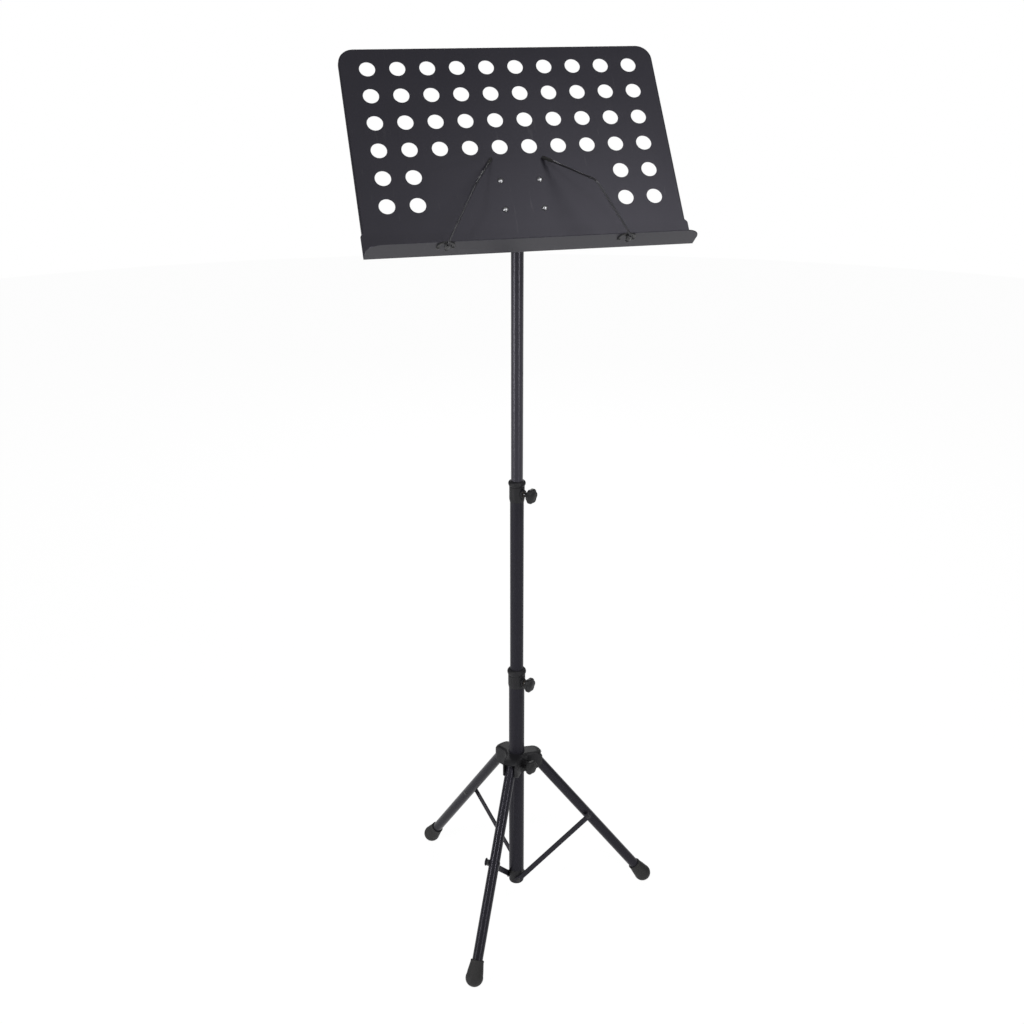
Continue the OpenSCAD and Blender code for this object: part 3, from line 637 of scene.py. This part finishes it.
def armClip(side):
    whole = bmesh.new()
    c = clip
    x, thick, ease, half = side * arm["across"], c["thickness"], c["ease"], c["width"] / 2
    inner, outer = c["bow"] - half, c["bow"] + half
    bow = bmesh.new()
    section = [(inner + ease, 0), (outer - ease, 0), (outer, ease), (outer, thick),
               (inner, thick), (inner, ease)]
    bow.faces.new([bow.verts.new((radius, 0, z)) for radius, z in section])
    swept = bmesh.ops.spin(bow, geom=list(bow.faces), cent=(0, 0, 0), axis=(0, 0, 1),
                           angle=-math.pi, steps=20)
    ends = [f for f in swept["geom_last"] if isinstance(f, bmesh.types.BMFace)]
    ends += [f for f in bow.faces if all(abs(v.co.y) < 1e-6 and v.co.x > 0 for v in f.verts)]
    for end in ends:
        carried = bmesh.ops.extrude_face_region(bow, geom=[end])["geom"]
        verts = [item for item in carried if isinstance(item, bmesh.types.BMVert)]
        bmesh.ops.translate(bow, verts=verts, vec=(0, c["leg"], 0))
        bmesh.ops.delete(bow, geom=[end], context="FACES_ONLY")
    joinTo(whole, bow, Matrix.Translation((x, ledgeFront + c["setBack"], ledgeUnder - thick)))
    bore, skin, length = arm["wire"] + 0.05, c["barrel"], c["barrelLength"]
    barrel = turned([(bore, 0.5), (bore + 0.5, 0), (skin - ease, 0), (skin, ease),
                     (skin, length - ease), (skin - ease, length), (bore + 0.5, length),
                     (bore, length - 0.5), (bore, 0.5)], 28)
    joinTo(whole, barrel, aimed((0, -1, 0), (x, ledgeFront + c["barrelBack"], armLevel)))
    neck = bmesh.new()
    tall = ledgeUnder - 0.05 - armLevel - bore
    bmesh.ops.create_cube(neck, size=1, matrix=Matrix.Translation(
        (x, ledgeFront + c["neckBack"], armLevel + bore + tall / 2))
        @ Matrix.Diagonal((*c["neck"], tall, 1)))
    uprights = [e for e in neck.edges if abs(e.verts[0].co.z - e.verts[1].co.z) > 1]
    bmesh.ops.bevel(neck, geom=uprights, offset=c["neckRound"], affect="EDGES", segments=3,
                    profile=0.5, material=-1)
    joinTo(whole, neck)
    return whole


for side, sideName in ((-1, "left"), (1, "right")):
    finishPiece(sideName + "ArmWire", armWire(side), deskPlace, sideName + "_arm", wireSteel,
                [sideName + "_arm_wire"])
    finishPiece(sideName + "ArmSleeve", armSleeve(side), deskPlace, sideName + "_arm",
                footRubber, [sideName + "_arm_tip"])
    finishPiece(sideName + "ArmClip", armClip(side), deskPlace, "desk", blackSteel,
                [sideName + "_arm_clip"])
print("page arms made")

# Clamp knobs: a mushroom with a coned back and six soft lobes, some on a stem or a boss
knob = {"size": 12.5, "thickness": 10, "neck": 5.4, "dome": 1.6, "lobes": 6, "depth": 0.10,
        "stem": 0, "stemSize": 4, "boss": 0}


def lobedGrip(k):
    size, neck, stem, boss = k["size"], k["neck"], k["stem"], k["boss"]
    back = k["thickness"] * 0.36 + boss + stem
    front = k["thickness"] + boss + stem
    profile = [(0, 0), (neck - 0.3, 0), (neck, 0.3)]
    if stem:
        thin = k["stemSize"]
        profile = [(0, 0), (thin - 0.3, 0), (thin, 0.3), (thin, stem - 0.4),
                   (thin + 0.4, stem), (neck, stem)]
    if boss:
        profile += [(neck, boss - 0.6), (neck + 0.5, boss)]
    profile += [(size * 0.80, back - 0.5)]
    profile += arc((size - 1.5, back + 1.2), 1.5, -60, 0, 4)
    profile += arc((size - 2.0, front - 2.0), 2.0, 0, 75, 5)
    profile += [(size * 0.70, front), (size * 0.60, front + 0.15)]
    profile += [(size * 0.45, front + k["dome"] * 0.55), (size * 0.25, front + k["dome"] * 0.9),
                (0, front + k["dome"])]
    part = turned(profile, 72)
    bmesh.ops.remove_doubles(part, verts=part.verts, dist=weldGap)
    for vert in part.verts:  # the lobes fade out towards the middle
        share = math.hypot(vert.co.x, vert.co.y) / size
        if vert.co.z > back - 1 and share > 0.5:
            wave = (1 - math.cos(k["lobes"] * math.atan2(vert.co.y, vert.co.x))) / 2
            shrink = 1 - k["depth"] * min(1, (share - 0.5) / 0.3) * wave ** 1.3
            vert.co.x *= shrink
            vert.co.y *= shrink
    return part


def clampKnob(jointName, node, body, name, **changes):
    axis, spot = Vector(joints[jointName]["axis"]), Vector(joints[jointName]["pos_m"])
    start = min(vert.co.dot(axis) for vert in frame["nodes"][node].data.vertices)
    back = (spot + axis * (start - spot.dot(axis))) * 1000
    whole = bmesh.new()
    joinTo(whole, lobedGrip({**knob, **changes}), aimed(axis, back, (0, 0, 1)))
    finishPiece(name, whole, Matrix(), body, knobPlastic, [node], sharp=50)


clampKnob("upper_knob_turn", "upper_clamp_knob", "upper_clamp", "upperKnob", stem=5.6)
clampKnob("lower_knob_turn", "lower_clamp_knob", "lower_clamp", "lowerKnob", stem=2.4)
clampKnob("head_knob_turn", "head_knob", "head_clamp", "headKnob")
clampKnob("holder_knob_turn", "holder_knob", "holder_clamp", "holderKnob")
clampKnob("tilt_knob_turn", "tilt_knob", "tilt_clamp", "tiltKnob", size=15, thickness=12,
          neck=8, boss=4)
print("knobs made")


# Short boss round a clamp screw, from inside the wall out to its rounded face
def screwBoss(start, reach, b):
    return turned([(b["bore"], start), (b["root"], start), (b["side"], reach - b["sideEnd"])]
                  + arc((b["crown"] - b["round"], reach - b["round"]), b["round"], 0, 90, 4)
                  + [(b["bore"] + b["lead"], reach), (b["bore"], reach - 0.5),
                     (b["bore"], start)], 40)


# Collars on the tube ends: sleeve, round bead, short screw boss
collarBoss = {"bore": 3.3, "root": 7.2, "side": 7.0, "sideEnd": 1.6, "crown": 6.8,
              "round": 1.2, "lead": 1.3}
collars = {
    "upper": {"node": "upper_collar", "body": "middle_column", "joint": "upper_knob_turn",
              "tube": 22, "inner": 19, "sleeve": 24.6, "bead": 27.8, "beadHeight": 9.3,
              "bossReach": 14.4},
    "lower": {"node": "lower_collar", "body": "lower_column", "joint": "lower_knob_turn",
              "tube": 26, "inner": 22, "sleeve": 28.6, "bead": 31.4, "beadHeight": 11.4,
              "bossReach": 16.2}}


def collar(c):
    low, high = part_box(c["node"])
    bottom, top = low.z * 1000, high.z * 1000
    bead, sleeve, soft = c["bead"] / 2, c["sleeve"] / 2, c["beadHeight"] / 2 - 0.3
    outerBore, innerBore = c["tube"] / 2 + 0.05, c["inner"] / 2 + 0.1
    beadFoot, seat = top - c["beadHeight"], top - 2.5
    profile = [(outerBore, bottom), (c["tube"] / 2 + 0.5, bottom),
               (sleeve - 0.2, bottom + 3.6), (sleeve, bottom + 4.6),
               (sleeve, beadFoot - 0.6), (sleeve - 0.45, beadFoot - 0.2)]
    profile += arc((bead - soft, beadFoot + soft), soft, -38, 0, 5)
    brow = math.acos((innerBore + 0.6 - bead + soft) / soft)
    profile += arc((bead - soft, top - soft), soft, 0, math.degrees(brow), 10)
    profile += arc((innerBore + 0.5, top - soft * (1 - math.sin(brow)) - 0.55), 0.5, 90, 180, 3)
    profile += [(innerBore, seat), (outerBore, seat), (outerBore, bottom)]
    whole = bmesh.new()
    joinTo(whole, turned(profile, 64))
    joint = joints[c["joint"]]
    boss = screwBoss(outerBore + 0.8, c["bossReach"], collarBoss)
    joinTo(whole, boss, aimed(joint["axis"], (0, 0, joint["pos_m"][2] * 1000), (0, 0, 1)))
    return whole


for c in collars.values():
    finishPiece(c["node"].replace("_", "-") + "-piece", collar(c), Matrix(), c["body"],
                headPlastic, [c["node"]])
print("collars made")

casting = {"radius": 13, "edge": 4.5, "socket": 7.5, "spigot": 11.9, "floor": 4}


def bottomCasting():
    c = casting
    low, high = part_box("bottom_casting")
    bottom, top = low.z * 1000, high.z * 1000
    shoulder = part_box("lower_tube")[0].z * 1000
    profile = [(0, bottom)]
    profile += arc((c["radius"] - c["edge"], bottom + c["edge"]), c["edge"], -90, 0, 8)
    profile += [(c["radius"], shoulder - 0.5), (c["radius"] - 0.5, shoulder),
                (c["spigot"], shoulder), (c["spigot"], top), (c["socket"], top),
                (c["socket"], bottom + c["floor"]), (0, bottom + c["floor"])]
    whole = bmesh.new()
    joinTo(whole, turned(profile, 56))
    return whole


finishPiece("bottomCasting", bottomCasting(), Matrix(), "lower_column", headPlastic,
            ["bottom_casting"])

# Tripod head: hub and three lobes, rolled round the top, with a slot under each lobe
head = {"hub": 20, "half": 13.5, "nose": 33.5, "hollow": 5, "bottom": 271, "top": 304,
        "roll": 4.5, "ease": 0.9, "crown": 21, "crownAt": 28.5, "bore": 13.1, "tipRise": 9,
        "riseFrom": 33.8, "slot": 9.25, "slotFrom": 21.4, "slotTop": 299.2, "exitTop": 298,
        "clamp": 287, "bossFrom": 16, "bossReach": 28.7}
headBoss = {"bore": 3.3, "root": 7.6, "side": 7.5, "sideEnd": 1.2, "crown": 7.5,
            "round": 1.0, "lead": 1.2}


def around(angle):
    return Vector((math.cos(angle), math.sin(angle)))


# Plan outline of the head as (point, outward direction), one turn from the front lobe's tip
def headOutline(firstTurn):
    h = head
    away = h["hub"] + h["hollow"]
    lift = h["half"] + h["hollow"]
    corner = Vector((math.sqrt(away ** 2 - lift ** 2), lift))
    start = math.atan2(lift, corner.x)
    half = []  # in turn: round nose, straight side, hollow corner, hub
    for i in range(10):
        out = around(math.pi / 2 * i / 9)
        half.append((Vector((h["nose"], 0)) + h["half"] * out, out))
    for i in range(1, 4):
        x = h["nose"] + (corner.x - h["nose"]) * i / 4
        half.append((Vector((x, h["half"])), Vector((0, 1))))
    for i in range(7):
        out = around(math.pi * 1.5 + (start - math.pi / 2) * i / 6)
        half.append((corner + h["hollow"] * out, -out))
    for i in range(1, 4):
        out = around(start + (math.pi / 3 - start) * i / 3)
        half.append((h["hub"] * out, out))
    mirror = [(Vector((x, -y)), Vector((nx, -ny))) for (x, y), (nx, ny) in reversed(half[1:-1])]
    outline = []
    for leg in range(len(legs)):
        turn = Matrix.Rotation(firstTurn + leg * fullTurn / len(legs), 2)
        outline += [(turn @ point, turn @ out) for point, out in mirror + half]
    return outline


def headTop(point):
    run = max(0, point.length - head["crownAt"])
    crown = math.sqrt(head["crown"] ** 2 - run ** 2) + head["top"] + 0.3 - head["crown"]
    return min(head["top"], crown)


def tripodHead():
    h = head
    firstPivot = joints["front_leg_fold"]["pos_m"]
    firstTurn = math.atan2(firstPivot[1], firstPivot[0])
    outline = headOutline(firstTurn)
    part = bmesh.new()
    levels = []

    def level(points):
        levels.append([part.verts.new(point) for point in points])

    def below(point):
        rise = (point.length - h["riseFrom"]) / (h["nose"] + h["half"] - h["riseFrom"])
        return h["bottom"] + h["tipRise"] * max(0, min(1, rise))

    # a ring part of the way from the bore's rim to the outline, set in by a margin
    def between(margin, share, height):
        ring = [(point.normalized() * (h["bore"] + 0.5)).lerp(point - out * margin, share)
                for point, out in outline]
        return [(*point, height(point)) for point in ring]

    level([(*(point.normalized() * h["bore"]), h["bottom"] + 0.5) for point, out in outline])
    for share in (0, 0.3, 0.55, 0.75, 1):
        level(between(h["ease"], share, below))
    level([(*point, below(point) + h["ease"]) for point, out in outline])
    rollSteps = 6
    for i in range(rollSteps):
        a = math.pi / 2 * i / rollSteps
        ring = [point - out * h["roll"] * (1 - math.cos(a)) for point, out in outline]
        level([(*point, headTop(point) - h["roll"] * (1 - math.sin(a))) for point in ring])
    for share in (1, 0.88, 0.76, 0.64, 0.5, 0.35, 0.18, 0):
        level(between(h["roll"], share, headTop))
    level([(*(point.normalized() * h["bore"]), h["top"] - 0.5) for point, out in outline])
    for lower, upper in zip(levels, levels[1:] + levels[:1]):
        for a, b, c, d in zip(lower, lower[1:] + lower[:1], upper[1:] + upper[:1], upper):
            part.faces.new((a, b, c, d))
    bmesh.ops.recalc_face_normals(part, faces=part.faces)
    for leg in range(len(legs)):
        turn = Matrix.Rotation(firstTurn + leg * fullTurn / len(legs), 4, "Z")
        part = cutAway(part, legSlot(), turn)
    whole = bmesh.new()
    joinTo(whole, part)
    boss = screwBoss(h["bossFrom"], h["bossReach"], headBoss)
    joinTo(whole, boss, aimed(joints["head_knob_turn"]["axis"], (0, 0, h["clamp"]), (0, 0, 1)))
    return whole


# Room for one leg under its lobe, from folded to open
def legSlot():
    h = head
    slot = bmesh.new()
    outer, deep = h["nose"] + h["half"] + 5, h["bottom"] - 10
    steps = [(h["slotFrom"], h["slotTop"]), (h["nose"] + h["slot"], h["slotTop"]),
             (h["nose"] + h["slot"], h["exitTop"]), (outer, h["exitTop"]), (outer, deep),
             (h["slotFrom"], deep)]
    side = slot.faces.new([slot.verts.new((x, -h["slot"], z)) for x, z in steps])
    made = bmesh.ops.extrude_face_region(slot, geom=[side])["geom"]
    bmesh.ops.translate(slot, verts=[v for v in made if isinstance(v, bmesh.types.BMVert)],
                        vec=(0, 2 * h["slot"], 0))
    bmesh.ops.recalc_face_normals(slot, faces=slot.faces)
    return slot


# The whole with a tool shape taken out of it
def cutAway(whole, tool, place):
    tool.transform(place)
    body, cutter = passingObject(whole), passingObject(tool)
    cut = body.modifiers.new("cut", "BOOLEAN")
    cut.operation = "DIFFERENCE"
    cut.solver = "EXACT"
    cut.object = cutter
    return applied(body, cutter)


finishPiece("tripodHead", tripodHead(), Matrix(), "tripod_head", headPlastic,
            ["tripod_head"], sharp=35)
print("casting and head made")

# swell: (radius, height above the ball's middle)
foot = {"ball": 14.6, "middle": 13.2, "neck": 28.5, "rim": 11.2, "rimRound": 1.3,
        "bore": 8.8, "boreEnd": 2, "swell": ((12.0, 18), (12.9, 12.5), (13.5, 8))}


# Direction of an open leg, its pivot, and the distance from there to its foot's middle
def legPlace(leg):
    joint = joints[leg + "_leg_fold"]
    pivot = Vector(joint["pos_m"])
    out = Vector((pivot.x, pivot.y, 0)).normalized()
    spread = math.radians(joint["range_deg"][1])
    along = out * math.sin(spread) - Vector((0, 0, 1)) * math.cos(spread)
    length = (pivot.z * 1000 - foot["middle"]) / math.cos(spread)
    return along, pivot * 1000, length


def rubberFoot(leg):
    f = foot
    along, pivot, length = legPlace(leg)
    start, deep = length - f["neck"], length + f["boreEnd"]
    profile = [(0, deep), (f["bore"], deep), (f["bore"], start + 0.5), (f["bore"] + 0.4, start)]
    profile += arc((f["rim"] - f["rimRound"], start + f["rimRound"]), f["rimRound"], -90, 0, 4)
    profile += [(f["rim"] - 0.15, start + 3.4), (f["rim"] - 0.1, start + 4.6)]
    profile += [(radius, length - above) for radius, above in f["swell"]]
    profile += arc((0, length), f["ball"], -19, 90, 16)
    whole = bmesh.new()
    joinTo(whole, turned(profile, 56), aimed(along, pivot, (0, 0, 1)))
    # flat where it stands on the floor
    cut = bmesh.ops.bisect_plane(whole, geom=whole.verts[:] + whole.edges[:] + whole.faces[:],
                                 plane_co=(0, 0, 0), plane_no=(0, 0, 1), clear_inner=True)
    rim = [item for item in cut["geom_cut"] if isinstance(item, bmesh.types.BMEdge)]
    bmesh.ops.holes_fill(whole, edges=rim, sides=0)
    bmesh.ops.recalc_face_normals(whole, faces=whole.faces)
    return whole


for leg in legs:
    finishPiece(leg + "Foot", rubberFoot(leg), Matrix(), leg + "_leg", footRubber,
                [leg + "_foot"], sharp=50)
print("feet made")

# CAD nodes that keep their shape get their finish
keptFinishes = {
    "upper_tube": slickCoat, "middle_tube": tubeCoat, "lower_tube": tubeCoat,
    "upper_tube_bush": bushPlastic, "middle_tube_bush": bushPlastic,
    "tilt_bolt": zincSteel, "tilt_washers": zincSteel,
    "holder_insert": insertBrass, "upper_clamp_insert": insertBrass,
    "lower_clamp_insert": insertBrass, "head_insert": insertBrass,
    "holder_screw": zincSteel, "upper_clamp_screw": zincSteel,
    "lower_clamp_screw": zincSteel, "head_screw": zincSteel,
    "clip_rivets": blackSteel, "brace_lower_pins": blackSteel, "leg_pins": blackSteel}
for leg in legs:
    keptFinishes[leg + "_leg_tube"] = legCoat
    keptFinishes[leg + "_leg_knuckle"] = legCoat
    keptFinishes[leg + "_brace_pin"] = blackSteel
    keptFinishes[leg + "_brace_rivet"] = blackSteel
for node, material in keptFinishes.items():
    for slot in frame["nodes"][node].material_slots:
        slot.material = material
print("kept nodes finished")

# Studio: a pale floor and backdrop that read white, soft boxes above
studio = {"floorRadius": 6, "floorTone": 0.80, "floorGlow": 0.93, "glowStrength": 1.05,
          "fill": 0.02, "glare": 0.14}


def paleFloor():
    f = Finish("paleFloor", Roughness=0.9)
    f.colour((studio["floorTone"],) * 3 + (1,))
    seen, glossy, through = (f.add("ShaderNodeLightPath", output="Is " + ray + " Ray")
                             for ray in ("Camera", "Glossy", "Transmission"))
    glow = f.add("ShaderNodeEmission", None,
                 {"Color": (1, 1, 1, 1), "Strength": studio["glowStrength"]})
    both = f.add("ShaderNodeMixShader", None,
                 {0: (seen + glossy + through) * studio["floorGlow"],
                  1: Wire(f, f.shader.outputs[0]), 2: glow})
    f.feed(f.nodes["Material Output"].inputs["Surface"], both)
    return f.material


floorShape = bmesh.new()
bmesh.ops.create_circle(floorShape, segments=64, radius=studio["floorRadius"], cap_ends=True)
floorMesh = bpy.data.meshes.new("floor")
floorShape.to_mesh(floorMesh)
floorShape.free()
floorMesh.materials.append(paleFloor())
floor = bpy.data.objects.new("floor", floorMesh)
bpy.context.scene.collection.objects.link(floor)

# The world is white to the eye and through glass, softer in the gloss, and nearly dark as light
world = bpy.data.worlds.new("studio")
bpy.context.scene.world = world
sky = Tree(world)
tone = (studio["fill"],) * 3
for ray, white in (("Camera", 1), ("Glossy", studio["glare"]), ("Transmission", 1)):
    tone = sky.blend(sky.add("ShaderNodeLightPath", output="Is " + ray + " Ray"), tone,
                     (white,) * 3)
background = sky.nodes["Background"]
sky.feed(background.inputs["Color"], tone)
sky.feed(background.inputs["Strength"], 1)

# Two boxes light the desk, two the legs; the strips line the tubes, one box is behind
lamps = {
    "keyBox": {"place": (0.5, -0.85, 2.15), "aim": (0.1, 0, 1.15), "size": 0.6, "power": 8.5},
    "leftBox": {"place": (-0.9, -1.9, 2.85), "aim": (0, 0, 1.1), "size": 0.35, "power": 20},
    "legLeft": {"place": (-1.9, -0.6, 1.22), "aim": (0, 0, 0.15), "size": 0.25, "power": 10},
    "legRight": {"place": (0.85, -2.1, 1.1), "aim": (0, 0, 0.15), "size": 0.25, "power": 10},
    "leftStrip": {"place": (-2.0, -0.6, 0.5), "aim": (0, 0, 0.9), "size": 0.6, "power": 9},
    "rightStrip": {"place": (0.9, -2.3, 0.45), "aim": (0, 0, 0.95), "size": 0.5, "power": 6},
    "backBox": {"place": (0.8, 2.6, 2.0), "aim": (0, 0, 0.6), "size": 1.4, "power": 28}}
for name, lamp in lamps.items():
    light = bpy.data.lights.new(name, "AREA")
    light.shape = "DISK"
    light.size = lamp["size"]
    light.energy = lamp["power"]
    holder = bpy.data.objects.new(name, light)
    holder.location = lamp["place"]
    aim = Vector(lamp["aim"]) - Vector(lamp["place"])
    holder.rotation_euler = aim.to_track_quat("-Z", "Y").to_euler()
    holder.visible_camera = False
    bpy.context.scene.collection.objects.link(holder)
print("studio lit")
